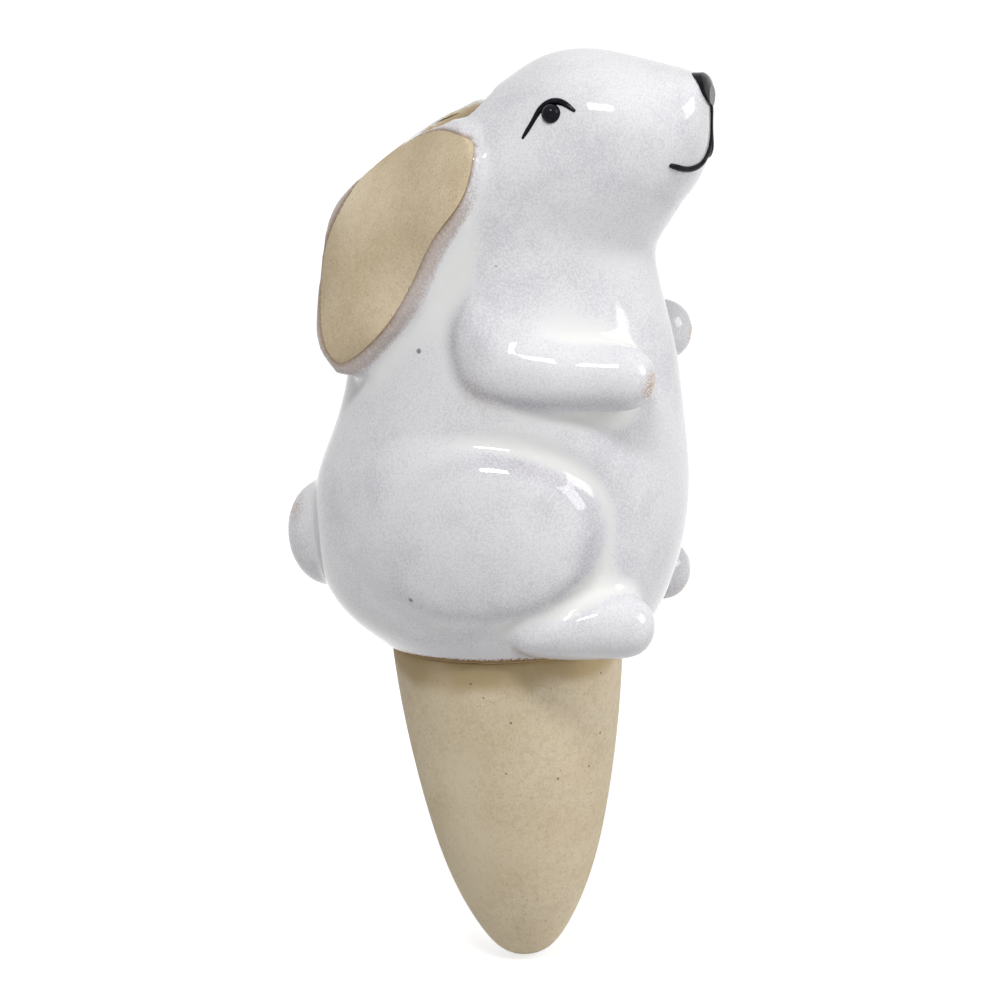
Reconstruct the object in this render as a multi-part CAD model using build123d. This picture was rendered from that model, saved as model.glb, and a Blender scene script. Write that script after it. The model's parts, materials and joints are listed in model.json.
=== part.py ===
from build123d import *
from math import copysign, cos, pi, radians, sin, sqrt
import os

# A seated rabbit in glazed stoneware on a hollow, unglazed spike. Water goes in at the back of the head,
# stands in the head, the torso and the spike, and soaks out through the bare clay into the soil.
# Millimetres. The origin is on the spike's axis at the soil line. The rabbit faces -Y, its right is -X.

# The figure as a whole, and the thickness of the clay
FIGURE_HEIGHT = 114.5
FIGURE_DEPTH = 74.0
FIGURE_WIDTH = 62.0
FIGURE_WALL = 4.0

# The spike
SPIKE_LENGTH = 66.2
SPIKE_RADIUS = 22.6
SPIKE_WALL = 4.0

# The filling hole at the back of the head, tilted back from upright
FILL_HOLE_RADIUS = 8.0
FILL_HOLE_TILT = 26.0

# The ears, each a leaf laid back along the neck with a bare face let into its outer side
EAR_THICKNESS = 5.6
EAR_FACE_THICKNESS = 1.2
EAR_FACE_RECESS = 0.4

# The limbs and the tail: thickness where each is fullest
ARM_RADIUS = 7.3
FOOT_RADIUS = 7.0
HAUNCH_BULGE = 3.6
TAIL_LENGTH = 16.0
TAIL_WIDTH = 15.0
TAIL_HEIGHT = 21.5

# The painted face: enamel lines and dots that stand on the glaze
EYE_RADIUS = 1.85
STROKE_RADIUS = 0.55
NOSE_WIDTH = 8.6
NOSE_HEIGHT = 5.8
ENAMEL_HEIGHT = 0.5

# One overrun serves every cut
OVERRUN = 40.0

# The direction in which the spike's side leaves the figure
SPIKE_TOP_SLOPE = (-0.05, 0, -1)

# The figure's side profile from the soil line to the muzzle, one oval section a row:
# reach and height at its front, reach and height at its back, half width.
# Reaches are shares of FIGURE_DEPTH, heights of FIGURE_HEIGHT and half widths of FIGURE_WIDTH.
BODY_SECTION_SHARES = [
    (0.358, 0.000, -0.327, 0.000, 0.371),
    (0.412, 0.044, -0.405, 0.044, 0.435),
    (0.455, 0.105, -0.470, 0.105, 0.482),
    (0.492, 0.192, -0.492, 0.192, 0.500),
    (0.505, 0.284, -0.477, 0.284, 0.492),
    (0.499, 0.376, -0.419, 0.376, 0.460),
    (0.491, 0.463, -0.378, 0.463, 0.419),
    (0.473, 0.541, -0.355, 0.559, 0.379),
    (0.450, 0.620, -0.328, 0.664, 0.339),
    (0.453, 0.666, -0.291, 0.760, 0.327),
    (0.489, 0.703, -0.196, 0.847, 0.327),
    (0.523, 0.735, -0.061, 0.902, 0.323),
    (0.560, 0.764, 0.074, 0.949, 0.306),
    (0.586, 0.791, 0.189, 0.991, 0.284),
    (0.597, 0.810, 0.318, 0.997, 0.252),
    (0.605, 0.826, 0.426, 0.981, 0.213),
    (0.608, 0.837, 0.507, 0.968, 0.177),
    (0.610, 0.852, 0.565, 0.957, 0.142),
    (0.612, 0.873, 0.597, 0.947, 0.097),
    (0.614, 0.893, 0.611, 0.930, 0.052),
]
NECK_ROW = 8
CAVITY_LAST_ROW = 16

# Each oval is drawn in pieces, each through its middle; its heading is taken a small share to each side
OVAL_PIECES = 8
HALF_SHARE = 0.5
HEADING_SHARE = 0.1

# A round end closes in by a circle's law: how far along it each ring lies, as shares of its reach
ROUND_END_SHARES = (0.55, 0.85, 0.98)

# Places on the figure. Each gives a sideways place as a share of half FIGURE_WIDTH,
# a reach as a share of FIGURE_DEPTH and a height as a share of FIGURE_HEIGHT.
FILL_HOLE_SHARES = (0.0, -0.047, 0.908)
TAIL_SHARES = (0.0, -0.468, 0.177)
HAUNCH_SHARES = (-0.480, 0.004, 0.227)
HAUNCH_LENGTH_SHARE = 0.743
HAUNCH_HEIGHT_SHARE = 0.454
UPPER_ARM_PATH_SHARES = [(-0.600, 0.120, 0.660), (-0.622, 0.068, 0.585), (-0.655, 0.072, 0.508)]
FOREARM_PATH_SHARES = [(-0.655, 0.072, 0.508), (-0.700, 0.245, 0.490), (-0.655, 0.403, 0.483)]
FOOT_PATH_SHARES = [(-0.760, 0.150, 0.074), (-0.700, 0.270, 0.068), (-0.655, 0.366, 0.060)]

# How thick each limb is at the points of its path, as shares of its fullest radius
UPPER_ARM_THICKNESS_SHARES = (0.72, 0.97, 1.10)
FOREARM_THICKNESS_SHARES = (1.10, 0.98, 0.86)
FOOT_THICKNESS_SHARES = (0.95, 1.00, 0.90)

# The right ear from root to tip: the places of its front edge and of its back edge, row by row,
# and the share of EAR_THICKNESS that each row has
EAR_ROW_SHARES = [
    ((-0.400, 0.010, 0.900), (-0.230, -0.025, 0.905), 0.50),
    ((-0.587, 0.045, 0.865), (-0.210, -0.064, 0.887), 0.85),
    ((-0.661, 0.045, 0.827), (-0.115, -0.178, 0.849), 1.00),
    ((-0.687, 0.011, 0.771), (-0.120, -0.301, 0.796), 1.00),
    ((-0.690, -0.024, 0.721), (-0.135, -0.382, 0.740), 1.00),
    ((-0.690, -0.064, 0.675), (-0.180, -0.409, 0.670), 1.00),
    ((-0.697, -0.109, 0.616), (-0.245, -0.423, 0.597), 1.00),
    ((-0.677, -0.172, 0.569), (-0.339, -0.422, 0.543), 0.95),
    ((-0.600, -0.247, 0.515), (-0.403, -0.397, 0.507), 0.80),
    ((-0.550, -0.310, 0.484), (-0.470, -0.367, 0.482), 0.45),
]

# The bare face in the ear's outer side, as seen from the side, and the way that it looks out
EAR_FACE_SHARES = [
    (0.026, 0.880), (-0.055, 0.887), (-0.172, 0.857), (-0.275, 0.813), (-0.345, 0.756), (-0.396, 0.687),
    (-0.411, 0.604), (-0.395, 0.541), (-0.359, 0.508), (-0.289, 0.527), (-0.188, 0.591), (-0.127, 0.652),
    (-0.062, 0.727), (0.003, 0.778), (0.040, 0.839),
]
EAR_FACE_LOOKS = (-0.75, -0.50, 0.35)

# How square an ear's cross-section is: the power of its sine and cosine, where 1 is an ellipse
EAR_SQUARENESS_SHARE = 0.75

# The spike's outline: it bulges gently and ends in a round tip. Shares of its length and radius.
SPIKE_BULGE_SHARES = (0.495, 0.808)
SPIKE_SHOULDER_SHARES = (0.895, 0.410)
SPIKE_TIP_SHARES = (0.968, 0.255)

# The face, placed from the side as shares of FIGURE_DEPTH and FIGURE_HEIGHT
EYE_SHARES = (0.243, 0.919)
LASH_SHARES = [(0.170, 0.882), (0.196, 0.908), (0.220, 0.929), (0.247, 0.937), (0.278, 0.934), (0.303, 0.924)]
LASH_THICKNESS_SHARES = (0.50, 0.85, 1.15, 1.25, 1.05, 0.60)

# The right half of the mouth, from its corner to the middle and up to the nose, placed from the front
# as shares of FIGURE_WIDTH and FIGURE_HEIGHT
MOUTH_SHARES = [
    (-0.196, 0.822), (-0.150, 0.811), (-0.103, 0.808), (-0.060, 0.813),
    (-0.028, 0.828), (-0.008, 0.850), (-0.004, 0.875), (-0.004, 0.903),
]
MOUTH_THICKNESS_SHARES = (0.85, 1.05, 1.10, 1.05, 0.95, 0.80, 0.70, 0.70)

# The nose, placed from the front, and its outline as shares of its own width and height
NOSE_SHARES = (0.0, 0.926)
NOSE_OUTLINE_SHARES = [(-0.5, 0.22), (-0.28, 0.5), (0.28, 0.5), (0.5, 0.22), (0.14, -0.46), (-0.14, -0.46)]


def at(sideways, forward, height):
    """A point from its place to the left of the middle, its reach forward and its height."""
    return Vector(sideways, -forward, height)


def on_figure(shares):
    """A point of the figure from shares of half its width, of its depth and of its height."""
    return at(shares[0] * FIGURE_WIDTH / 2, shares[1] * FIGURE_DEPTH, shares[2] * FIGURE_HEIGHT)


def oval(plane, half_width, half_depth, squareness=1):
    """A closed oval, in pieces that each run smoothly on from the last."""

    def spot(piece):
        turn = 2 * pi * piece / OVAL_PIECES
        sides = [copysign(abs(side) ** squareness, side) for side in (cos(turn), sin(turn))]
        return plane.from_local_coords((sides[0] * half_width, sides[1] * half_depth))

    curves = []
    for i in range(OVAL_PIECES):
        points = [spot(i + step) for step in (0, HALF_SHARE, 1)]
        headings = [spot(i + step + HEADING_SHARE) - spot(i + step - HEADING_SHARE) for step in (0, 1)]
        curves.append(Spline(*points, tangents=headings))
    return Wire(curves)


def row_ends(row):
    front = at(0, row[0] * FIGURE_DEPTH, row[1] * FIGURE_HEIGHT)
    back = at(0, row[2] * FIGURE_DEPTH, row[3] * FIGURE_HEIGHT)
    return front, back


def row_plane(row):
    """The plane of one oval section, square to the figure's middle plane."""
    front, back = row_ends(row)
    rearward = (back - front).normalized()
    return Plane(origin=(front + back) / 2, x_dir=(1, 0, 0), z_dir=Vector(1, 0, 0).cross(rearward))


def body_section(row, inset):
    front, back = row_ends(row)
    return oval(row_plane(row), row[4] * FIGURE_WIDTH - inset, (back - front).length / 2 - inset)


def body_form():
    """The torso, neck and head as one solid form without its hollow."""
    return Solid.make_loft([body_section(row, 0) for row in BODY_SECTION_SHARES])


def cavity_form():
    """The hollow inside the form, one wall in from its skin and one wall above the soil line."""
    rows = BODY_SECTION_SHARES[: CAVITY_LAST_ROW + 1]
    hollow = Solid.make_loft([body_section(row, FIGURE_WALL) for row in rows])
    return hollow.split(Plane.XY.offset(FIGURE_WALL), keep=Keep.TOP)


def fill_hole_axis():
    """The filling hole's middle at the skin, and the direction out of it, up and back."""
    tilt = radians(FILL_HOLE_TILT)
    return Axis(on_figure(FILL_HOLE_SHARES), at(0, -sin(tilt), cos(tilt)))


def fill_hole_cut():
    """A round block about the filling hole's axis, from inside the head to clear of it."""
    axis = fill_hole_axis()
    start = Plane(origin=axis.position - axis.direction * FILL_HOLE_RADIUS, z_dir=axis.direction)
    return start * Cylinder(FILL_HOLE_RADIUS, OVERRUN, align=(Align.CENTER, Align.CENTER, Align.MIN))


def spike_outline(inset):
    """Half the spike's section, from the soil line to the round tip, as a closed face."""
    length, radius = SPIKE_LENGTH - inset, SPIKE_RADIUS - inset
    table = (SPIKE_BULGE_SHARES, SPIKE_SHOULDER_SHARES, SPIKE_TIP_SHARES)
    points = [(share[1] * radius, 0, -share[0] * length) for share in table]
    flank = Spline((radius, 0, 0), *points, (0, 0, -length), tangents=[SPIKE_TOP_SLOPE, (-1, 0, 0)])
    return make_face([flank, Line((0, 0, -length), (0, 0, 0)), Line((0, 0, 0), (radius, 0, 0))])


def spike():
    outer = revolve(spike_outline(0), Axis.Z)
    hollow = revolve(spike_outline(SPIKE_WALL), Axis.Z)
    return outer - hollow


def tube(centres, radii, beside):
    """A smooth round-ended tube through the centres. Its rings are turned by a direction beside it."""
    last = len(centres) - 1
    rings = []
    for i, (centre, size) in enumerate(zip(centres, radii)):
        along = (centres[min(i + 1, last)] - centres[max(i - 1, 0)]).normalized()
        across = (beside - along * along.dot(beside)).normalized()
        rings.append((centre, along, across, size))
    wires = [round_end(rings[0], -1, share) for share in reversed(ROUND_END_SHARES)]
    wires += [ring_wire(*ring) for ring in rings]
    wires += [round_end(rings[-1], 1, share) for share in ROUND_END_SHARES]
    return Solid.make_loft(wires)


def limb(path_shares, thickness_shares, radius):
    centres = [on_figure(shares) for shares in path_shares]
    return tube(centres, [share * radius for share in thickness_shares], Vector(1, 0, 0))


def ring_wire(centre, along, across, size):
    return oval(Plane(origin=centre, x_dir=across, z_dir=along), size, size)


def round_end(ring, way, share):
    """One ring of a tube's round end, a share of the end's radius beyond its last full ring."""
    centre, along, across, size = ring
    return ring_wire(centre + along * size * share * way, along, across, size * sqrt(1 - share ** 2))


def ellipsoid(centre, half_width, half_depth, half_height):
    return Pos(*centre) * scale(Sphere(1), by=(half_width, half_depth, half_height))


def haunch_form(body):
    """A broad low swelling over the hip, as far proud of the body as HAUNCH_BULGE."""
    centre = on_figure(HAUNCH_SHARES)
    skin = on_skin(body, Axis(centre, (-1, 0, 0)))
    reach = abs(skin.X - centre.X) + HAUNCH_BULGE
    half_length = HAUNCH_LENGTH_SHARE * FIGURE_DEPTH / 2
    return ellipsoid(centre, reach, half_length, HAUNCH_HEIGHT_SHARE * FIGURE_HEIGHT / 2)


def ear_section(front, back, thickness, along):
    """A flat, softly squared ring across the ear, from its front edge to its back edge."""
    across = (front - back).normalized()
    facing = (along - across * along.dot(across)).normalized()
    plane = Plane(origin=(front + back) / 2, x_dir=across.cross(facing), z_dir=facing)
    return oval(plane, thickness / 2, (front - back).length / 2, EAR_SQUARENESS_SHARE)


def ear_form():
    """The right ear as a leaf lofted from its root to its tip, turning as it lies round the neck."""
    edges = [(on_figure(front), on_figure(back)) for front, back, _ in EAR_ROW_SHARES]
    middles = [(front + back) / 2 for front, back in edges]
    last = len(edges) - 1
    rings = []
    for i, (front, back) in enumerate(edges):
        along = middles[min(i + 1, last)] - middles[max(i - 1, 0)]
        rings.append(ear_section(front, back, EAR_ROW_SHARES[i][2] * EAR_THICKNESS, along))
    return Solid.make_loft(rings)


def ear_face_pocket(ear):
    """The clay under the bare face, as deep as the recess and the face together."""
    outline = [(reach * FIGURE_DEPTH, height * FIGURE_HEIGHT) for reach, height in EAR_FACE_SHARES]
    side_view = Plane(origin=(0, 0, 0), x_dir=(0, -1, 0), z_dir=(-1, 0, 0))
    block = side_view * extrude(make_face(Spline(*outline, periodic=True)), FIGURE_WIDTH)
    return main_side((ear & block) - sunk(ear, EAR_FACE_RECESS + EAR_FACE_THICKNESS))


def sunk(ear, depth):
    """The ear moved in by the depth, square to its bare face."""
    return Pos(*(at(*EAR_FACE_LOOKS).normalized() * -depth)) * ear


def on_skin(body, axis):
    """The outermost point where a line along the axis meets the body."""
    hits = []
    for face in body.faces():
        hits += [point for point, _ in face.find_intersection_points(axis)]
    return max(hits, key=lambda point: (point - axis.position).dot(axis.direction))


def stroke(points, thickness_shares, beside):
    """A brushed line of enamel through points of the skin."""
    return tube(points, [share * STROKE_RADIUS for share in thickness_shares], beside)


def from_side(body, shares):
    """The place on the right of the skin behind a point of the side view."""
    return on_skin(body, Axis(at(0, shares[0] * FIGURE_DEPTH, shares[1] * FIGURE_HEIGHT), (-1, 0, 0)))


def from_front(body, shares):
    """The place on the front of the skin behind a point of the front view."""
    return on_skin(body, Axis(at(shares[0] * FIGURE_WIDTH, 0, shares[1] * FIGURE_HEIGHT), (0, -1, 0)))


def eye_dot(body):
    """A low dome of enamel, the part of a small ball that stands out of the skin."""
    return Pos(*from_side(body, EYE_SHARES)) * Sphere(EYE_RADIUS) - body


def mouth_half(body, nose):
    """One stroke from the corner of the mouth to the middle and up to the nose, cut at the middle."""
    points = [from_front(body, shares) for shares in MOUTH_SHARES]
    line = stroke(points, MOUTH_THICKNESS_SHARES, Vector(0, 1, 0)) - body - nose
    return main_side(line.split(Plane.YZ, keep=Keep.BOTTOM))


def nose_patch(body):
    """A thick patch of enamel over the tip of the muzzle, a rounded triangle from the front."""
    outline = [(share[0] * NOSE_WIDTH, share[1] * NOSE_HEIGHT) for share in NOSE_OUTLINE_SHARES]
    middle = from_front(body, NOSE_SHARES)
    plane = Plane(origin=middle, x_dir=(1, 0, 0), z_dir=(0, -1, 0))
    block = plane * extrude(make_face(Spline(*outline, periodic=True)), NOSE_HEIGHT, both=True)
    return (Pos(*at(0, ENAMEL_HEIGHT, ENAMEL_HEIGHT)) * body & block) - body


def main_side(shape):
    """Only the largest solid of a cut."""
    return max(shape.solids(), key=lambda solid: solid.volume)


def both_sides(name, right):
    """A piece of the right side and its mirror image on the left."""
    return {name + "_right": right, name + "_left": mirror(right, about=Plane.YZ)}


body = body_form()
hole = fill_hole_cut()
spike_bore = Cylinder(SPIKE_RADIUS - SPIKE_WALL, FIGURE_WALL, align=(Align.CENTER, Align.CENTER, Align.MIN))
shell = main_side(body - cavity_form() - spike_bore - hole)
neck = row_plane(BODY_SECTION_SHARES[NECK_ROW])
haunch = haunch_form(body)
ear = ear_form()
pocket = ear_face_pocket(ear)
upper_arm = limb(UPPER_ARM_PATH_SHARES, UPPER_ARM_THICKNESS_SHARES, ARM_RADIUS)
arm = upper_arm + limb(FOREARM_PATH_SHARES, FOREARM_THICKNESS_SHARES, ARM_RADIUS)
foot = limb(FOOT_PATH_SHARES, FOOT_THICKNESS_SHARES, FOOT_RADIUS)
tail = ellipsoid(on_figure(TAIL_SHARES), TAIL_WIDTH / 2, TAIL_LENGTH / 2, TAIL_HEIGHT / 2)
nose = main_side(nose_patch(body))
eye = eye_dot(body)
lash_points = [from_side(body, shares) for shares in LASH_SHARES]
lash = stroke(lash_points, LASH_THICKNESS_SHARES, Vector(1, 0, 0)) - body - eye
mouth = mouth_half(body, nose)

parts = {
    "torso": shell.split(neck, keep=Keep.BOTTOM),
    "head": shell.split(neck, keep=Keep.TOP),
    "spike": spike(),
    "tail": main_side(tail - body),
    "nose": nose,
    "mouth": Compound([mouth, mirror(mouth, about=Plane.YZ)]),
}
parts.update(both_sides("ear", main_side(ear - body - hole - pocket)))
parts.update(both_sides("ear_face", main_side((pocket & sunk(ear, EAR_FACE_RECESS)) - body)))
parts.update(both_sides("arm", main_side(arm - body)))
parts.update(both_sides("haunch", main_side(haunch - body)))
parts.update(both_sides("foot", main_side(foot - body - haunch)))
parts.update(both_sides("eye", main_side(eye)))
parts.update(both_sides("lash", main_side(lash)))

os.makedirs("parts", exist_ok=True)
for name, solid in parts.items():
    print(name, solid.is_valid, round(solid.volume, 1), solid.bounding_box())
    export_step(solid, "parts/" + name + ".step")
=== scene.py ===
import json
from math import cos, radians, sin

import bmesh
import bpy
import numpy as np
from mathutils import Matrix, Vector
from mathutils.bvhtree import BVHTree


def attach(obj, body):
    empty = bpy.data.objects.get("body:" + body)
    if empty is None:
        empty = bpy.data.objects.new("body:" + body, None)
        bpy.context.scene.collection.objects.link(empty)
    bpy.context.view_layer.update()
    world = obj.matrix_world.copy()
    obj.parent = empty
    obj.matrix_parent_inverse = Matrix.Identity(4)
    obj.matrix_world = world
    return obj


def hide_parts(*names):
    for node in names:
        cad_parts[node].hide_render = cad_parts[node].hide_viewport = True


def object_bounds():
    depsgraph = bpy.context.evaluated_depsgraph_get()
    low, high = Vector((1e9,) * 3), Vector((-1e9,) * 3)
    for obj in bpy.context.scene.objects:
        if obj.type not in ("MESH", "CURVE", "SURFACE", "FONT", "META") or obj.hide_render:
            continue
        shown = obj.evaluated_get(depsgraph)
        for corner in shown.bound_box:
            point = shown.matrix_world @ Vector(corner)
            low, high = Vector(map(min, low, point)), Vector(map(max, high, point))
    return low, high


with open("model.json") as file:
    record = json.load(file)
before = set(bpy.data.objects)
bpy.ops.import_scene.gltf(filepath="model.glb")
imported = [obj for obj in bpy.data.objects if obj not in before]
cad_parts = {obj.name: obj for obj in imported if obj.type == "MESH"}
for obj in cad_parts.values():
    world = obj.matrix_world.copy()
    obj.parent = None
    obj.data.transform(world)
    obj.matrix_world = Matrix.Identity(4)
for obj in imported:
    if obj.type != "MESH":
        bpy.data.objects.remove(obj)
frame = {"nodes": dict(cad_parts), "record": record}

cad_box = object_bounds()

# The camera looks at the rabbit's right side, a little from the front and from above, and is tipped a
# little, so that the nose points up more. A long lens keeps the sides nearly parallel.
MM = 0.001
CAMERA_TURN = radians(12.5)
CAMERA_RISE = radians(14.5)
CAMERA_TIP = radians(3.5)
CAMERA_DISTANCE = 1.0
CAMERA_SENSOR = 36.0
CAMERA_NEAREST = 0.05
CAMERA_FARTHEST = 20.0
PICTURE_WIDTHS_PER_METRE = 5.12
AIM_RIGHT = -1.426 * MM
AIM_UP = 25.586 * MM

RABBIT_RIGHT = Vector((-1, 0, 0))
RABBIT_FRONT = Vector((0, -1, 0))
UP = Vector((0, 0, 1))


def camera_axes():
    """Which way the picture's right side, its top and the camera's back point."""
    level = RABBIT_RIGHT * cos(CAMERA_TURN) + RABBIT_FRONT * sin(CAMERA_TURN)
    back = level * cos(CAMERA_RISE) + UP * sin(CAMERA_RISE)
    across = RABBIT_FRONT * cos(CAMERA_TURN) - RABBIT_RIGHT * sin(CAMERA_TURN)
    rise = back.cross(across)
    right = across * cos(CAMERA_TIP) - rise * sin(CAMERA_TIP)
    return right, back.cross(right), back


picture_right, picture_up, camera_back = camera_axes()
camera_data = bpy.data.cameras.new("camera")
camera_data.sensor_width = CAMERA_SENSOR
camera_data.lens = CAMERA_SENSOR * PICTURE_WIDTHS_PER_METRE * CAMERA_DISTANCE
camera_data.clip_start = CAMERA_NEAREST
camera_data.clip_end = CAMERA_FARTHEST
camera = bpy.data.objects.new("camera", camera_data)
bpy.context.scene.collection.objects.link(camera)
aim = picture_right * AIM_RIGHT + picture_up * AIM_UP
camera.matrix_world = Matrix.Translation(aim + camera_back * CAMERA_DISTANCE) @ Matrix(
    [[picture_right[i], picture_up[i], camera_back[i], 0] for i in range(3)] + [[0, 0, 0, 1]]
)
bpy.context.scene.camera = camera

# The rabbit is one fired body under one glaze: torso, head, ears, arms, haunches, feet and tail run into
# each other. Their CAD surfaces are joined into one skin, its edges softened and its creases filled, as
# the glaze does where it runs together.
GLAZED_MIDDLE = ["torso", "head", "tail"]
GLAZED_PAIRS = ["ear", "arm", "haunch", "foot"]
SAME_POINT = 0.001 * MM
SOFTENING_STRENGTH = 0.5
BODY_VOXEL = 0.82 * MM
BODY_SOFTENING = 7
CREASE_ROUNDS = 38
CREASE_FILL = 0.5
CREASE_BEND = 0.05 / MM


def pair(name):
    """The names of a right and a left node."""
    return [name + "_right", name + "_left"]


def joined_nodes(names):
    """The surfaces of CAD nodes in one mesh, each with its loose triangles merged."""
    joined = bmesh.new()
    for name in names:
        part = bmesh.new()
        part.from_mesh(frame["nodes"][name].data)
        bmesh.ops.remove_doubles(part, verts=part.verts, dist=SAME_POINT)
        merged = bpy.data.meshes.new(name + "_merged")
        part.to_mesh(merged)
        part.free()
        joined.from_mesh(merged)
        bpy.data.meshes.remove(merged)
    return joined


def fired_body(name, nodes, voxel, softening):
    """One closed, softened mesh object in place of several nodes that touch or overlap."""
    joined = joined_nodes(nodes)
    rough = bpy.data.meshes.new(name + "_rough")
    joined.to_mesh(rough)
    joined.free()
    piece = bpy.data.objects.new(name, rough)
    bpy.context.scene.collection.objects.link(piece)
    remesh = piece.modifiers.new("remesh", "REMESH")
    remesh.mode = "VOXEL"
    remesh.voxel_size = voxel
    depsgraph = bpy.context.evaluated_depsgraph_get()
    even = bpy.data.meshes.new_from_object(piece.evaluated_get(depsgraph))
    piece.modifiers.clear()
    piece.data = even
    bpy.data.meshes.remove(rough)
    even.name = name
    soft = bmesh.new()
    soft.from_mesh(even)
    for _ in range(softening):
        bmesh.ops.smooth_vert(
            soft, verts=soft.verts, factor=SOFTENING_STRENGTH,
            use_axis_x=True, use_axis_y=True, use_axis_z=True,
        )
    soft.to_mesh(even)
    soft.free()
    even.polygons.foreach_set("use_smooth", [True] * len(even.polygons))
    return piece


def table_of(collection, name, size=3):
    """A property of every vertex or edge as one table."""
    table = np.empty(len(collection) * size, dtype=int if name == "vertices" else float)
    collection.foreach_get(name, table)
    return table.reshape(-1, size)


def pull(places, edges):
    """From each vertex to the middle of its neighbours."""
    count = len(places)
    links = np.bincount(edges.ravel(), minlength=count)
    total = np.empty_like(places)
    for axis in range(3):
        total[:, axis] = np.bincount(edges[:, 0], places[edges[:, 1], axis], count)
        total[:, axis] += np.bincount(edges[:, 1], places[edges[:, 0], axis], count)
    return total / links[:, None] - places


def move_vertices(mesh, places):
    """Puts every vertex of a mesh in its new place."""
    mesh.vertices.foreach_set("co", places.ravel())
    mesh.update()


glazed_nodes = GLAZED_MIDDLE + sum([pair(name) for name in GLAZED_PAIRS], [])
body = fired_body("glazed_body", glazed_nodes + pair("ear_face"), BODY_VOXEL, BODY_SOFTENING)
body_edges = table_of(body.data.edges, "vertices", 2)
for _ in range(CREASE_ROUNDS):
    places = table_of(body.data.vertices, "co")
    normals = table_of(body.data.vertex_normals, "vector")
    lift = (pull(places, body_edges) * normals).sum(axis=1) - CREASE_BEND * BODY_VOXEL ** 2 / 2
    move_vertices(body.data, places + normals * (np.maximum(lift, 0) * CREASE_FILL)[:, None])

# The haunch is a broad plump pad: the glaze has run into a soft groove that goes round its front, top and
# underside and fades at the back. The upper arm has no groove in front, where it melts into the chest.
# Lines and spots on the figure's sides are given as millimetres forward and up, for both sides alike.
HAUNCH_LINE = [
    (-14.0, 38.5), (-6.0, 43.0), (1.0, 44.6), (7.5, 44.4), (13.4, 42.9), (20.0, 39.4), (25.0, 34.0),
    (26.6, 27.2), (24.6, 19.0), (20.4, 14.0), (14.5, 10.4), (4.0, 8.6), (-7.0, 9.2), (-15.5, 13.5),
    (-19.0, 18.0),
]
HAUNCH_GROOVE = 1.25 * MM
HAUNCH_GROOVE_WIDTH = 2.6 * MM
HAUNCH_SWELL = 0.55 * MM
HAUNCH_SWELL_AT = 5.5 * MM
HAUNCH_SWELL_WIDTH = HAUNCH_SWELL_AT / 1.6
HAUNCH_REGION_TOP = 58 * MM
HAUNCH_FADE_SHARES = (0.0, 0.35, 0.65, 0.85, 1.0, 1.0, 1.0, 1.0, 1.0, 1.0, 0.8, 0.5, 0.4, 0.25, 0.0)
SHOULDER = (13.5, 74.5)
SHOULDER_REACH = (6.0, 13.0)
SHOULDER_ROUNDS = 135
SHOULDER_MELT = 0.9
SIDES_BEGIN = (6 * MM, 12 * MM)
SIDEWAYS_TILT = 0.12
LINE_PIECES = 4


def soft_step(low, high, values):
    """0 below low, 1 above high, and a smooth rise between."""
    share = np.clip((values - low) / (high - low), 0, 1)
    return share * share * (3 - 2 * share)


def along_line(line, points):
    """Each point's distance from a line, which side of the line it lies on, and the line's weight there."""
    start, run, weights = line[:-1, :2], np.diff(line[:, :2], axis=0), line[:, 2]
    offset = points[:, None] - start
    share = np.clip((offset * run).sum(axis=2) / (run ** 2).sum(axis=1), 0, 1)
    gaps = np.linalg.norm(offset - share[:, :, None] * run, axis=2)
    nearest = gaps.argmin(axis=1)
    each = np.arange(len(points))
    cross = run[nearest, 0] * offset[each, nearest, 1] - run[nearest, 1] * offset[each, nearest, 0]
    weight = weights[nearest] + share[each, nearest] * (weights[nearest + 1] - weights[nearest])
    return gaps[each, nearest], np.sign(cross), weight


def curved(line, pieces):
    """A smooth line through points, with so many pieces between each two of them."""
    line = np.array(line, float)
    ends = np.vstack([2 * line[0] - line[1], line, 2 * line[-1] - line[-2]])
    result = []
    for before, first, second, after in zip(ends, ends[1:], ends[2:], ends[3:]):
        for t in np.arange(pieces) / pieces:
            swing = (2 * before - 5 * first + 4 * second - after) * t * t / 2
            turn = (3 * first - before - 3 * second + after) * t ** 3 / 2
            result.append(first + (second - before) * t / 2 + swing + turn)
    return np.vstack(result + [line[-1]])


def outward(places, normals):
    """Which vertices lie on the outside of the figure's sides."""
    faces_out = normals[:, 0] * np.sign(places[:, 0]) > SIDEWAYS_TILT
    return soft_step(*SIDES_BEGIN, np.abs(places[:, 0])) * faces_out


places = table_of(body.data.vertices, "co")
normals = table_of(body.data.vertex_normals, "vector")
sideways = np.column_stack([-places[:, 1], places[:, 2]]) / MM
near = np.flatnonzero((outward(places, normals) > 0) & (places[:, 2] < HAUNCH_REGION_TOP))
faded_line = [point + (fade,) for point, fade in zip(HAUNCH_LINE, HAUNCH_FADE_SHARES)]
haunch_line = curved(faded_line, LINE_PIECES)
gap, inner_side, fade = along_line(haunch_line, sideways[near])
gap = gap * MM
groove = HAUNCH_GROOVE * np.exp(-(gap / HAUNCH_GROOVE_WIDTH) ** 2)
swell = HAUNCH_SWELL * np.exp(-((gap - HAUNCH_SWELL_AT) / HAUNCH_SWELL_WIDTH) ** 2) * (inner_side < 0)
places[near] += normals[near] * ((swell - groove) * fade * outward(places, normals)[near])[:, None]
move_vertices(body.data, places)

near_shoulder = np.linalg.norm(sideways - np.array(SHOULDER), axis=1)
melt = SHOULDER_MELT * (1 - soft_step(*SHOULDER_REACH, near_shoulder)) * outward(places, normals)
for _ in range(SHOULDER_ROUNDS):
    places = places + pull(places, body_edges) * melt[:, None]
move_vertices(body.data, places)

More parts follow.
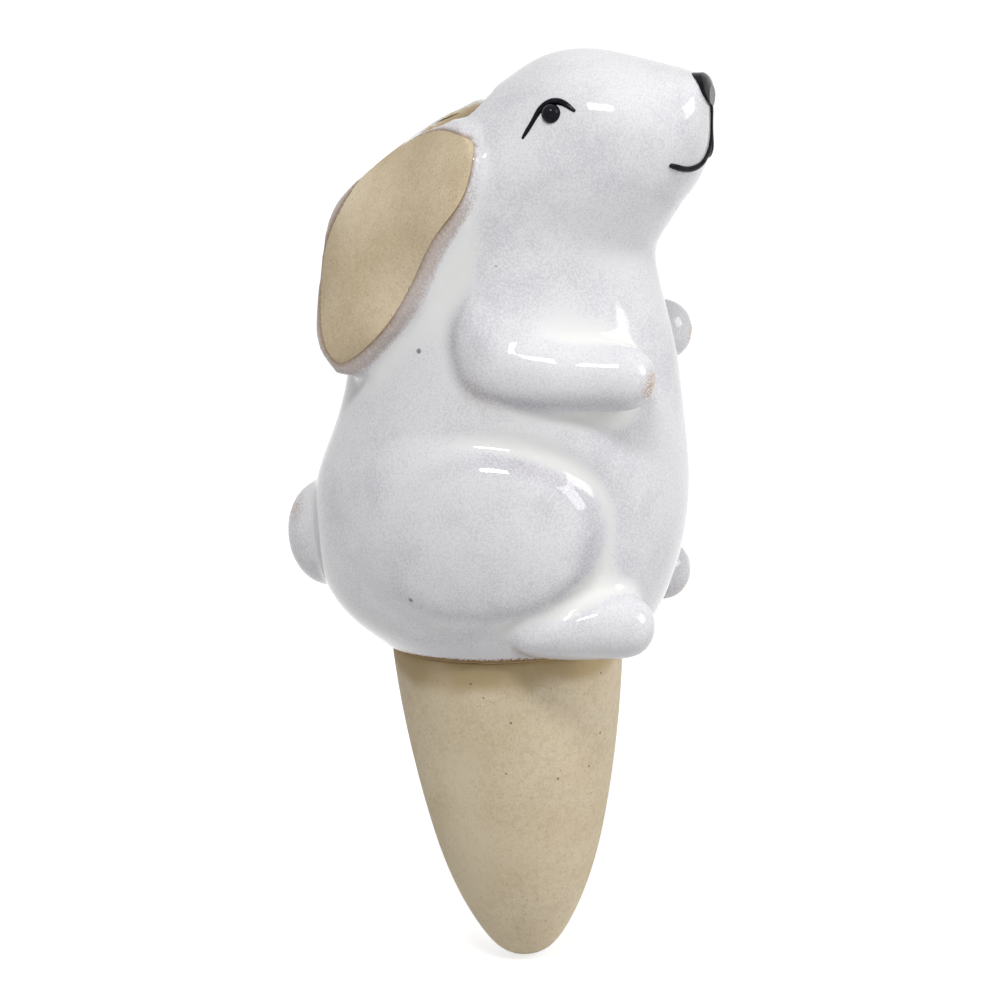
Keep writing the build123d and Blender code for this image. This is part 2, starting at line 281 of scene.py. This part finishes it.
# Each ear's bare face lies a little below the glaze round it. Under the bare face, the skin is pressed in
# so that the face covers it, and the glaze ends in a soft lip along the face's outline.
LIP_START = -0.3 * MM
LIP_END = 0.9 * MM
LIP_DROP = 0.75 * MM
LIP_REACH = 2.5 * MM
EAR_REACH = 6.0 * MM
ON_OUTLINE = 0.02 * MM
RIM_TILT = 0.03
INWARD_TILT = -0.3


def face_outside(name, side):
    """A bare face's outside as a search tree, and the edges all round it."""
    face = joined_nodes([name])
    hidden = [polygon for polygon in face.faces if polygon.normal.x * side < RIM_TILT]
    bmesh.ops.delete(face, geom=hidden, context="FACES")
    outline = [[vertex.co.copy() for vertex in edge.verts] for edge in face.edges if edge.is_boundary]
    outside = BVHTree.FromBMesh(face)
    face.free()
    return np.array(outline), outside


def beside_outline(places, outline, outside):
    """How far inside a bare face's outline points lie: negative outside it."""
    start = outline[:, 0]
    along = outline[:, 1] - start
    length = (along ** 2).sum(axis=1)
    result = []
    for place in places:
        nearest = np.array(outside.find_nearest(Vector(place))[0])
        to_start = nearest - start
        share = np.clip((to_start * along).sum(axis=1) / length, 0, 1)
        inside = np.sqrt(((to_start - share[:, None] * along) ** 2).sum(axis=1).min())
        result.append(inside if inside > ON_OUTLINE else -np.linalg.norm(place - nearest))
    return np.array(result)


places = table_of(body.data.vertices, "co")
normals = table_of(body.data.vertex_normals, "vector")
ear_depth = np.full(len(places), -EAR_REACH)
ear_gap = np.full(len(places), EAR_REACH)
for name, side in zip(pair("ear_face"), (-1, 1)):
    outline, outside = face_outside(name, side)
    for i in np.flatnonzero(places[:, 0] * side > 0):
        nearest = outside.find_nearest(Vector(places[i]), EAR_REACH)
        if nearest[0] is not None:
            ear_gap[i] = nearest[3]
    same_side = (places[:, 0] * side > 0) & (normals[:, 0] * side > INWARD_TILT)
    near = np.flatnonzero((ear_gap < EAR_REACH) & same_side)
    ear_depth[near] = beside_outline(places[near], outline, outside)
drop = LIP_DROP * soft_step(LIP_START, LIP_END, ear_depth) * (ear_gap < LIP_REACH)
move_vertices(body.data, places - normals * drop[:, None])

# What the glaze does over the form is kept on the skin's vertices: where it pools in creases and thins over
# edges, where it breaks to mauve and brown along the ears, where it lies thin in bands along the arm and
# haunch with painted shade in the same bands, where it is rubbed off paw, toe, tail and elbow, and where it
# is wiped off at the filling hole.
filling_hole = [mount for mount in frame["record"]["mounts"] if mount["name"] == "fill_hole"][0]
HOLE_PLACE = np.array(filling_hole["pos_m"])
HOLE_AXIS = np.array(filling_hole["axis"])
HOLE_RADIUS = 8.0 * MM
HOLE_DEPTH = 12.0 * MM
WIPED_BEYOND_HOLE = (0.2 * MM, 0.8 * MM)
BEND_ROUNDS = 8
WIDE_BEND_ROUNDS = 50
POOL_BENDS = (0.01 / MM, 0.10 / MM)
WIDE_POOL_BENDS = (0.004 / MM, 0.03 / MM)
POOL_SHARES = (0.6, 0.4)
THIN_BENDS = (0.075 / MM, 0.20 / MM)
EAR_RIM = (-4.6 * MM, -2.2 * MM)
EAR_RIM_REACH = 5.5 * MM
EAR_RIM_FADE_HEIGHTS = (86 * MM, 97 * MM)
EAR_LINE = (-0.9 * MM, -0.1 * MM)
EAR_LINE_REACH = 3 * MM
# Paw, toe, tail, rump under the tail, and elbow: beside the middle, forward, up, reach and strength.
RUBBED_SPOTS = [
    (21.5, 36.5, 53.5, 6.5, 1.0), (19.5, 34.0, 1.5, 7.5, 1.0), (4.0, -42.0, 27.0, 7.0, 0.8),
    (4.0, -40.0, 18.0, 7.0, 0.3), (27.5, 3.0, 54.0, 5.5, 0.50),
]
RUBBED_CORE_SHARE = 0.2
# The arm's rear and lower edge, with how strong the band of thin glaze and painted shade is along it.
ARM_EDGE = [
    (1.2, 76.2, 0.0), (-2.6, 71.6, 0.5), (-4.5, 66.2, 0.9), (-4.4, 60.9, 1.0), (-2.4, 55.5, 1.0),
    (0.9, 52.1, 1.0), (7.0, 50.2, 1.0), (17.0, 49.3, 0.9), (27.5, 49.4, 0.3),
]
BAND_FROM_EDGE = 3.0
BAND_WIDTH = 1.7


def spread(values, edges, rounds):
    """Values of the vertices averaged with their neighbours', as often as rounds says."""
    count = len(values)
    links = np.bincount(edges.ravel(), minlength=count)
    for _ in range(rounds):
        total = np.bincount(edges[:, 0], values[edges[:, 1]], count)
        total += np.bincount(edges[:, 1], values[edges[:, 0]], count)
        values = (values + total / links) / 2
    return values


def bend(mesh, edges, voxel):
    """How strongly the surface bends at each vertex: positive in a crease, negative on an edge."""
    normals = table_of(mesh.vertex_normals, "vector")
    return (pull(table_of(mesh.vertices, "co"), edges) * normals).sum(axis=1) * 2 / voxel ** 2


def keep(piece, name, values):
    """A value on each vertex that the glaze or clay reads by name."""
    layer = piece.data.attributes.new(name, "FLOAT", "POINT")
    layer.data.foreach_set("value", np.asarray(values, float))


def band_of_thin_glaze_and_shade(line, inner_side, points):
    """How strongly thin glaze and painted shade lie in a band along a line, on the inner side of it."""
    gap, side, weight = along_line(line, points)
    return np.exp(-((gap - BAND_FROM_EDGE) / BAND_WIDTH) ** 2) * (side == inner_side) * weight


places = table_of(body.data.vertices, "co")
bends = spread(bend(body.data, body_edges, BODY_VOXEL), body_edges, BEND_ROUNDS)
wide_bends = spread(bends, body_edges, WIDE_BEND_ROUNDS)
pools = POOL_SHARES[0] * soft_step(*POOL_BENDS, bends)
pools += POOL_SHARES[1] * soft_step(*WIDE_POOL_BENDS, wide_bends)
rim = soft_step(*EAR_RIM, ear_depth) * (ear_gap < EAR_RIM_REACH)
rim *= 1 - soft_step(*EAR_RIM_FADE_HEIGHTS, places[:, 2])
keep(body, "pool", pools)
keep(body, "thin", soft_step(*THIN_BENDS, -bends))
keep(body, "ear_rim", rim)
keep(body, "ear_line", soft_step(*EAR_LINE, ear_depth) * (ear_gap < EAR_LINE_REACH))
keep(body, "height", places[:, 2] / MM)
on_either_side = np.column_stack([np.abs(places[:, 0]), -places[:, 1], places[:, 2]]) / MM
rubbed = np.zeros(len(places))
for beside, forward, high, reach, strength in RUBBED_SPOTS:
    from_spot = np.linalg.norm(on_either_side - np.array([beside, forward, high]), axis=1)
    rubbed = np.maximum(rubbed, strength * (1 - soft_step(RUBBED_CORE_SHARE * reach, reach, from_spot)))
keep(body, "rubbed", rubbed)
sideways = on_either_side[:, 1:]
arm_edge = curved(ARM_EDGE, LINE_PIECES)
# Bands of painted shade, partly thin glaze, along the arm's rear and lower edge and inside the haunch's
# groove.
bands = np.maximum(band_of_thin_glaze_and_shade(haunch_line, -1, sideways), band_of_thin_glaze_and_shade(arm_edge, 1, sideways))
keep(body, "thin_glaze_and_shade", bands * outward(places, table_of(body.data.vertex_normals, "vector")))
from_hole = places - HOLE_PLACE
along_axis = from_hole @ HOLE_AXIS
beyond_hole = np.linalg.norm(from_hole - along_axis[:, None] * HOLE_AXIS, axis=1) - HOLE_RADIUS
keep(body, "wiped", (1 - soft_step(*WIPED_BEYOND_HOLE, beyond_hole)) * (along_axis > -HOLE_DEPTH))

# The glaze is a glossy milky white. It is creamy and smooth where it is thick, lavender grey and finely
# mottled where it is thin, and breaks to mauve, tan and brown on its edges. It is wiped off round the
# filling hole and under the foot, where the bare clay shows.
GLAZE_WHITE = (0.82, 0.82, 0.84, 1)
GLAZE_GREY = (0.61, 0.605, 0.65, 1)
GLAZE_CREAM = (0.86, 0.86, 0.83, 1)
GLAZE_MAUVE = (0.47, 0.37, 0.32, 1)
GLAZE_LAVENDER = (0.43, 0.405, 0.45, 1)
GLAZE_TAN = (0.50, 0.28, 0.12, 1)
GLAZE_BROWN = (0.27, 0.155, 0.06, 1)
PINHOLE_BROWN = (0.16, 0.08, 0.06, 1)
WIPED_CLAY = (0.56, 0.44, 0.27, 1)
GLAZE_ROUGHNESS = 0.045
WIPED_ROUGHNESS = 0.75
# Patterns: how many to the metre, how much finer detail they have, and how strong that detail is.
GLAZE_GRAIN = (2400.0, 3.0, 0.62)
GLAZE_CLOUDS = (75.0, 3.0, 0.6)
RIPPLES = (160.0, 1.0)
# Specks: how many places for one to the metre, and the share of places that has one.
PINHOLES = (420.0, 0.003)
SPECK_SIZES = (0.10, 0.34)
SPECK_CORE_SHARE = 0.55
# Changes: from one value of a pattern to another, what it does rises from a third value to a fourth.
FINE_MOTTLE = (0.34, 0.66, -0.34, 0.38)
CLOUDY_MOTTLE = (0.38, 0.75, 0.08, 0.62)
BAND_GRAIN = (0.30, 0.66, 0.30, 0.62)
WORN_GRAIN = (0.3, 0.7, -0.25, 0.25)
EAR_GRAIN = (0.3, 0.7, -0.35, 0.35)
RUBBED_GRAIN = (0.30, 0.66, 0.25, 1.0)
RUBBED_TO_TAN = (0.40, 0.90, 0.0, 0.75)
# At the foot these go by the height over the figure's underside in millimetres.
FOOT_GREY_GRAIN = (0.3, 0.7, -1.5, 1.5)
FOOT_GREY_HEIGHTS = (4.0, 1.0, 0.0, 0.30)
FOOT_LINE_GRAIN = (0.3, 0.7, -0.4, 0.4)
FOOT_LINE_HEIGHTS = (1.5, 1.0)
BARE_FOOT_HEIGHTS = (0.6, 0.2)
CREAM_SHARE = 0.85
WORN_SHARE = 0.30
EAR_BAND_SHARE = 0.8
EAR_LINE_SHARE = 0.85
RUBBED_SHARE = 0.55
PINHOLE_SHARE = 0.8
RIPPLE_SHARE = 0.12
GRAIN_SHARE = 0.012
RIPPLE_STRENGTH = 0.35
RIPPLE_DEPTH = 0.3 * MM


def finish_node(tree, kind, inputs=(), **settings):
    """Adds a shader node, sets it up, and gives each named or numbered input a value or a link."""
    made = tree.nodes.new(kind)
    for key, value in settings.items():
        setattr(made, key, value)
    for key, value in inputs:
        if isinstance(value, bpy.types.NodeSocket):
            tree.links.new(value, made.inputs[key])
        else:
            made.inputs[key].default_value = value
    return made


def tinted(tree, share, first, second):
    """The colour between two colours."""
    inputs = [(0, share), (6, first), (7, second)]
    return finish_node(tree, "ShaderNodeMix", inputs, data_type="RGBA").outputs[2]


def combined(tree, operation, first, second, clamp=False):
    """Two values added, multiplied or otherwise put together, point by point."""
    inputs = [(0, first), (1, second)]
    return finish_node(tree, "ShaderNodeMath", inputs, operation=operation, use_clamp=clamp).outputs[0]


def soft_rise(tree, value, low, high, to_low=0.0, to_high=1.0):
    """A value mapped from one range to another with a smooth rise."""
    inputs = [("Value", value), ("From Min", low), ("From Max", high)]
    inputs += [("To Min", to_low), ("To Max", to_high)]
    return finish_node(tree, "ShaderNodeMapRange", inputs, interpolation_type="SMOOTHSTEP").outputs[0]


def mottling(tree, place, scale, detail=2.0, roughness=0.5):
    """A cloudy pattern over the piece, so many clouds to the metre."""
    inputs = [("Vector", place), ("Scale", scale), ("Detail", detail), ("Roughness", roughness)]
    return finish_node(tree, "ShaderNodeTexNoise", inputs).outputs["Fac"]


def kept_value(tree, name):
    """A value that was kept on the piece's vertices."""
    return finish_node(tree, "ShaderNodeAttribute", attribute_name=name).outputs["Fac"]


def place_on_piece(tree):
    """Where each point of the piece is, in metres."""
    return finish_node(tree, "ShaderNodeTexCoord").outputs["Object"]


def new_finish(name, finish):
    """A material with its Principled shader, whose constant sockets are set here."""
    material = bpy.data.materials.new(name)
    material.use_nodes = True
    shader = material.node_tree.nodes["Principled BSDF"]
    for key, value in finish.items():
        shader.inputs[key].default_value = value
    return material, material.node_tree, shader


def speckle_group():
    """Iron specks in stoneware: small round dots, each of its own size, over only some of the surface."""
    group = bpy.data.node_groups.new("stoneware_specks", "ShaderNodeTree")
    group.interface.new_socket("Vector", in_out="INPUT", socket_type="NodeSocketVector")
    for name in ("Scale", "Amount"):
        group.interface.new_socket(name, in_out="INPUT", socket_type="NodeSocketFloat")
    group.interface.new_socket("Mask", in_out="OUTPUT", socket_type="NodeSocketFloat")
    given = group.nodes.new("NodeGroupInput").outputs
    inputs = [("Vector", given["Vector"]), ("Scale", given["Scale"]), ("Randomness", 1.0)]
    cells = finish_node(group, "ShaderNodeTexVoronoi", inputs)
    chance = finish_node(group, "ShaderNodeSeparateColor", [(0, cells.outputs["Color"])]).outputs
    present = combined(group, "LESS_THAN", chance[0], given["Amount"])
    size = soft_rise(group, chance[1], 0.0, 1.0, *SPECK_SIZES)
    inside = combined(group, "DIVIDE", cells.outputs["Distance"], size)
    dot = soft_rise(group, inside, 1.0, SPECK_CORE_SHARE)
    given_out = group.nodes.new("NodeGroupOutput")
    group.links.new(combined(group, "MULTIPLY", dot, present), given_out.inputs["Mask"])
    return group


specks = speckle_group()


def speck_mask(tree, place, scale, amount):
    """Specks on a piece: so many places for one to the metre, and the share of places that has one."""
    group = finish_node(tree, "ShaderNodeGroup", node_tree=specks)
    tree.links.new(place, group.inputs["Vector"])
    group.inputs["Scale"].default_value = scale
    group.inputs["Amount"].default_value = amount
    return group.outputs["Mask"]


glaze, tree, shader = new_finish("white_glaze", {"Roughness": GLAZE_ROUGHNESS, "IOR": 1.5})
place = place_on_piece(tree)
grain = mottling(tree, place, *GLAZE_GRAIN)
clouds = mottling(tree, place, *GLAZE_CLOUDS)
pool = kept_value(tree, "pool")
thin = kept_value(tree, "thin")
ear_rim = kept_value(tree, "ear_rim")
height = kept_value(tree, "height")
fine_mottle = soft_rise(tree, grain, *FINE_MOTTLE)
cloudy_mottle = soft_rise(tree, clouds, *CLOUDY_MOTTLE)
mottle = combined(tree, "SUBTRACT", combined(tree, "ADD", fine_mottle, cloudy_mottle), pool, clamp=True)
colour = tinted(tree, mottle, GLAZE_WHITE, GLAZE_GREY)
colour = tinted(tree, combined(tree, "MULTIPLY", pool, CREAM_SHARE), colour, GLAZE_CREAM)
# Painted shade, partly thin glaze: a lavender band along the arm's rear and lower edge and inside the
# haunch's groove.
thin_glaze_and_shade = combined(tree, "MULTIPLY", kept_value(tree, "thin_glaze_and_shade"), soft_rise(tree, grain, *BAND_GRAIN))
colour = tinted(tree, thin_glaze_and_shade, colour, GLAZE_LAVENDER)
worn = combined(tree, "ADD", thin, soft_rise(tree, grain, *WORN_GRAIN))
worn = combined(tree, "MULTIPLY", worn, thin, clamp=True)
colour = tinted(tree, combined(tree, "MULTIPLY", worn, WORN_SHARE), colour, GLAZE_MAUVE)
ear_band = combined(tree, "ADD", ear_rim, soft_rise(tree, grain, *EAR_GRAIN))
ear_band = combined(tree, "MULTIPLY", ear_band, ear_rim, clamp=True)
ear_band = combined(tree, "SUBTRACT", ear_band, pool, clamp=True)
colour = tinted(tree, combined(tree, "MULTIPLY", ear_band, EAR_BAND_SHARE), colour, GLAZE_MAUVE)
ear_line = combined(tree, "MULTIPLY", kept_value(tree, "ear_line"), EAR_LINE_SHARE)
colour = tinted(tree, ear_line, colour, GLAZE_BROWN)
rubbed_grain = soft_rise(tree, grain, *RUBBED_GRAIN)
rubbed = combined(tree, "MULTIPLY", rubbed_grain, kept_value(tree, "rubbed"), clamp=True)
colour = tinted(tree, combined(tree, "MULTIPLY", rubbed, RUBBED_SHARE), colour, GLAZE_MAUVE)
colour = tinted(tree, soft_rise(tree, rubbed, *RUBBED_TO_TAN), colour, GLAZE_TAN)
foot_grey = combined(tree, "ADD", height, soft_rise(tree, grain, *FOOT_GREY_GRAIN))
colour = tinted(tree, soft_rise(tree, foot_grey, *FOOT_GREY_HEIGHTS), colour, GLAZE_LAVENDER)
foot_line = combined(tree, "ADD", height, soft_rise(tree, grain, *FOOT_LINE_GRAIN))
colour = tinted(tree, soft_rise(tree, foot_line, *FOOT_LINE_HEIGHTS), colour, GLAZE_BROWN)
wiped = combined(tree, "MAXIMUM", kept_value(tree, "wiped"), soft_rise(tree, height, *BARE_FOOT_HEIGHTS))
colour = tinted(tree, wiped, colour, WIPED_CLAY)
pinholes = combined(tree, "MULTIPLY", speck_mask(tree, place, *PINHOLES), PINHOLE_SHARE)
colour = tinted(tree, pinholes, colour, PINHOLE_BROWN)
tree.links.new(colour, shader.inputs["Base Color"])
dulled = soft_rise(tree, wiped, 0.0, 1.0, GLAZE_ROUGHNESS, WIPED_ROUGHNESS)
tree.links.new(dulled, shader.inputs["Roughness"])
low_ripple = combined(tree, "MULTIPLY", mottling(tree, place, *RIPPLES), RIPPLE_SHARE)
ripple = combined(tree, "ADD", low_ripple, combined(tree, "MULTIPLY", grain, GRAIN_SHARE))
inputs = [("Strength", RIPPLE_STRENGTH), ("Distance", RIPPLE_DEPTH), ("Height", ripple)]
bump = finish_node(tree, "ShaderNodeBump", inputs)
tree.links.new(bump.outputs["Normal"], shader.inputs["Normal"])

body.data.materials.clear()
body.data.materials.append(glaze)
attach(body, "root")
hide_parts(*glazed_nodes)

# The bare clay is a sandy buff stoneware with fine dark and rusty specks, small pits and pale smudges. The
# spike is left bare so that water can seep out of it, and so is the wiped face of each ear.
CLAY_PALE = (0.82, 0.72, 0.54, 1)
CLAY_DARK = (0.47, 0.35, 0.20, 1)
CLAY_RUST = (0.36, 0.19, 0.08, 1)
CLAY_SPECK = (0.10, 0.075, 0.05, 1)
CLAY_PAINTED_SHADOW = (0.50, 0.38, 0.205, 1)
CLAY_ROUGHNESS = 0.82
CLAY_GRAIN = (2600.0, 3.0, 0.65)
CLAY_SAND = (620.0, 3.0, 0.7)
CLAY_CLOUD_DETAIL = (3.0, 0.55)
CLAY_SMUDGES = (38.0, 1.0)
CLAY_WAVES = (52.0, 0.0)
CLOUDS_TO_SHADE = (0.30, 0.72)
SAND_TO_DARK = (0.42, 0.72, 0.0, 0.28)
GRAIN_TO_DARK = (0.42, 0.70, 0.0, 0.26)
GRAIN_TO_PALE = (0.58, 0.32, 0.0, 0.30)
SMUDGE_TO_PALE = (0.62, 0.74, 0.0, 0.45)
PAINTED_SHADOW_CLOUDS = (0.3, 0.7, -0.2, 0.2)
PAINTED_SHADOW_BEGINS = (0.3, 1.0)
PAINTED_SHADOW_SHARE = 0.95
RUST_SPECKS = (1500.0, 0.16)
RUST_SHARE = 0.45
DARK_SPECKS = (950.0, 0.016)
DARK_SHARE = 0.7
PITS = (520.0, 0.05)
PIT_DEPTH = 0.12 * MM
PIT_STRENGTH = 0.5
GRAIN_HEIGHT = 0.5


def clay_material(name, base, shade, cloud_scale, waves):
    """Bare clay in two close shades, with low waves so high where fingers have smoothed it."""
    clay, tree, shader = new_finish(name, {"Roughness": CLAY_ROUGHNESS, "IOR": 1.45})
    place = place_on_piece(tree)
    grain = mottling(tree, place, *CLAY_GRAIN)
    sand = mottling(tree, place, *CLAY_SAND)
    clouds = mottling(tree, place, cloud_scale, *CLAY_CLOUD_DETAIL)
    colour = tinted(tree, soft_rise(tree, clouds, *CLOUDS_TO_SHADE), base, shade)
    colour = tinted(tree, soft_rise(tree, sand, *SAND_TO_DARK), colour, CLAY_DARK)
    colour = tinted(tree, soft_rise(tree, grain, *GRAIN_TO_DARK), colour, CLAY_DARK)
    colour = tinted(tree, soft_rise(tree, grain, *GRAIN_TO_PALE), colour, CLAY_PALE)
    # Painted shadow of the figure's overhang: the clay is darker just below the glaze, with a cloudy edge.
    painted_shadow = combined(tree, "ADD", kept_value(tree, "painted_shadow"), soft_rise(tree, clouds, *PAINTED_SHADOW_CLOUDS))
    painted_shadow = combined(tree, "MULTIPLY", soft_rise(tree, painted_shadow, *PAINTED_SHADOW_BEGINS), PAINTED_SHADOW_SHARE)
    colour = tinted(tree, painted_shadow, colour, CLAY_PAINTED_SHADOW)
    smudge = mottling(tree, place, *CLAY_SMUDGES)
    colour = tinted(tree, soft_rise(tree, smudge, *SMUDGE_TO_PALE), colour, CLAY_PALE)
    rust = speck_mask(tree, place, *RUST_SPECKS)
    colour = tinted(tree, combined(tree, "MULTIPLY", rust, RUST_SHARE), colour, CLAY_RUST)
    dark = speck_mask(tree, place, *DARK_SPECKS)
    colour = tinted(tree, combined(tree, "MULTIPLY", dark, DARK_SHARE), colour, CLAY_SPECK)
    tree.links.new(colour, shader.inputs["Base Color"])
    inputs = [("Strength", 1.0), ("Distance", waves), ("Height", mottling(tree, place, *CLAY_WAVES))]
    waved = finish_node(tree, "ShaderNodeBump", inputs).outputs["Normal"]
    relief = combined(tree, "MULTIPLY", grain, GRAIN_HEIGHT)
    relief = combined(tree, "SUBTRACT", relief, speck_mask(tree, place, *PITS))
    inputs = [("Strength", PIT_STRENGTH), ("Distance", PIT_DEPTH), ("Height", relief), ("Normal", waved)]
    bump = finish_node(tree, "ShaderNodeBump", inputs)
    tree.links.new(bump.outputs["Normal"], shader.inputs["Normal"])
    return clay


EAR_CLAY = (0.70, 0.58, 0.41, 1)
EAR_CLAY_SHADE = (0.60, 0.48, 0.31, 1)
EAR_CLOUDS = 70.0
EAR_WAVES = 5.0 * MM
ear_clay = clay_material("bare_clay_ear", EAR_CLAY, EAR_CLAY_SHADE, EAR_CLOUDS, EAR_WAVES)
for name in pair("ear_face"):
    frame["nodes"][name].data.materials.clear()
    frame["nodes"][name].data.materials.append(ear_clay)

# The spike is a hollow bullet of the same clay, thrown or cast in one with the figure's floor. Just below
# the
# glaze its clay is painted darker: a painted shadow of the figure's overhang on the spike.
SPIKE_CLAY = (0.80, 0.69, 0.51, 1)
SPIKE_CLAY_SHADE = (0.71, 0.59, 0.40, 1)
SPIKE_CLOUDS = 45.0
SPIKE_WAVES = 1.2 * MM
SPIKE_VOXEL = 0.8 * MM
SPIKE_SOFTENING = 3
# Painted shadow: the spike is darkest just below the glaze and fades out 10 mm further down.
PAINTED_SHADOW_HEIGHTS = (-10.0 * MM, -2.0 * MM)
spike_clay = clay_material("bare_clay", SPIKE_CLAY, SPIKE_CLAY_SHADE, SPIKE_CLOUDS, SPIKE_WAVES)
spike = fired_body("clay_spike", ["spike"], SPIKE_VOXEL, SPIKE_SOFTENING)
keep(spike, "painted_shadow", soft_step(*PAINTED_SHADOW_HEIGHTS, table_of(spike.data.vertices, "co")[:, 2]))
spike.data.materials.clear()
spike.data.materials.append(spike_clay)
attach(spike, "root")
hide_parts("spike")

# The eyes, lashes, nose and mouth are black enamel, brushed on over the glaze and fired again. It stands
# up from the glaze, is very glossy, and is slightly blue where the brush has left it thinner.
ENAMEL_BLACK = (0.003, 0.003, 0.005, 1)
ENAMEL_BLUE = (0.008, 0.008, 0.014, 1)
ENAMEL_FINISH = {"Roughness": 0.08, "IOR": 1.52, "Specular IOR Level": 0.10}
BRUSH_MARKS = (700.0, 2.0)
BRUSH_SPAN = (0.4, 0.7)
BRUSH_STRENGTH = 0.2
BRUSH_DEPTH = 0.05 * MM
enamel, tree, shader = new_finish("black_enamel", ENAMEL_FINISH)
place = place_on_piece(tree)
brushed = mottling(tree, place, *BRUSH_MARKS)
colour = tinted(tree, soft_rise(tree, brushed, *BRUSH_SPAN), ENAMEL_BLACK, ENAMEL_BLUE)
tree.links.new(colour, shader.inputs["Base Color"])
inputs = [("Strength", BRUSH_STRENGTH), ("Distance", BRUSH_DEPTH), ("Height", brushed)]
bump = finish_node(tree, "ShaderNodeBump", inputs)
tree.links.new(bump.outputs["Normal"], shader.inputs["Normal"])
for name in ["nose", "mouth"] + pair("eye") + pair("lash"):
    frame["nodes"][name].data.materials.clear()
    frame["nodes"][name].data.materials.append(enamel)

# The floor is a plain white sheet under the spike's tip, and the room round it is white too. A narrow
# bright lamp stands over the camera, a very wide faint one hangs above, and a broad one fills in from the
# rabbit's front.
FLOOR_HEIGHT = cad_box[0][2] - 0.2 * MM
FLOOR_REACH = 3.0
WHITE = (1, 1, 1, 1)
SHEET_GREY = (0.62, 0.62, 0.62, 1)
SHEET_ROUGHNESS = 0.9
SHEET_GLOW = 0.72
ROOM_LIGHT = 0.29
ROOM_WHITE = 1.0
LAMPS_AIM = Vector((0, 0, 50 * MM))
# Each lamp's turn and rise in degrees, its distance, width and depth in metres, and its watts.
LAMPS = [
    ("key_lamp", -4.0, 55.0, 1.3, 0.42, 0.22, 9.2),
    ("top_lamp", 0.0, 82.0, 1.2, 1.6, 1.6, 0.9),
    ("front_lamp", 78.0, 22.0, 1.6, 0.8, 0.8, 9.5),
]


def soft_lamp(name, turn, rise_angle, distance, width, depth, watts):
    """A rectangular lamp that faces the rabbit, placed by its angles to the camera's line of sight."""
    direction = Matrix.Rotation(radians(turn), 3, UP) @ camera_back
    level = Vector((direction.x, direction.y, 0)).normalized()
    direction = level * cos(radians(rise_angle)) + UP * sin(radians(rise_angle))
    lamp = bpy.data.lights.new(name, "AREA")
    lamp.shape = "RECTANGLE"
    lamp.size = width
    lamp.size_y = depth
    lamp.energy = watts
    holder = bpy.data.objects.new(name, lamp)
    bpy.context.scene.collection.objects.link(holder)
    holder.location = LAMPS_AIM + direction * distance
    holder.rotation_euler = direction.to_track_quat("Z", "Y").to_euler()


floor_mesh = bmesh.new()
bmesh.ops.create_grid(floor_mesh, x_segments=1, y_segments=1, size=FLOOR_REACH)
bmesh.ops.translate(floor_mesh, verts=floor_mesh.verts, vec=(0, 0, FLOOR_HEIGHT))
floor_data = bpy.data.meshes.new("floor")
floor_mesh.to_mesh(floor_data)
floor_mesh.free()
floor = bpy.data.objects.new("floor", floor_data)
bpy.context.scene.collection.objects.link(floor)
white, tree, shader = new_finish("white_sheet", {"Roughness": SHEET_ROUGHNESS, "Base Color": SHEET_GREY})
path = finish_node(tree, "ShaderNodeLightPath").outputs
seen = combined(tree, "ADD", path["Is Camera Ray"], path["Is Glossy Ray"], clamp=True)
shader.inputs["Emission Color"].default_value = WHITE
tree.links.new(combined(tree, "MULTIPLY", seen, SHEET_GLOW), shader.inputs["Emission Strength"])
floor_data.materials.append(white)

world = bpy.data.worlds.new("studio")
bpy.context.scene.world = world
world.use_nodes = True
tree = world.node_tree
path = finish_node(tree, "ShaderNodeLightPath").outputs
seen = combined(tree, "ADD", path["Is Camera Ray"], path["Is Glossy Ray"], clamp=True)
seen = combined(tree, "ADD", seen, path["Is Transmission Ray"], clamp=True)
background = tree.nodes["Background"]
background.inputs["Color"].default_value = WHITE
tree.links.new(soft_rise(tree, seen, 0.0, 1.0, ROOM_LIGHT, ROOM_WHITE), background.inputs["Strength"])
for lamp_values in LAMPS:
    soft_lamp(*lamp_values)

bpy.context.scene.view_settings.view_transform = "Standard"
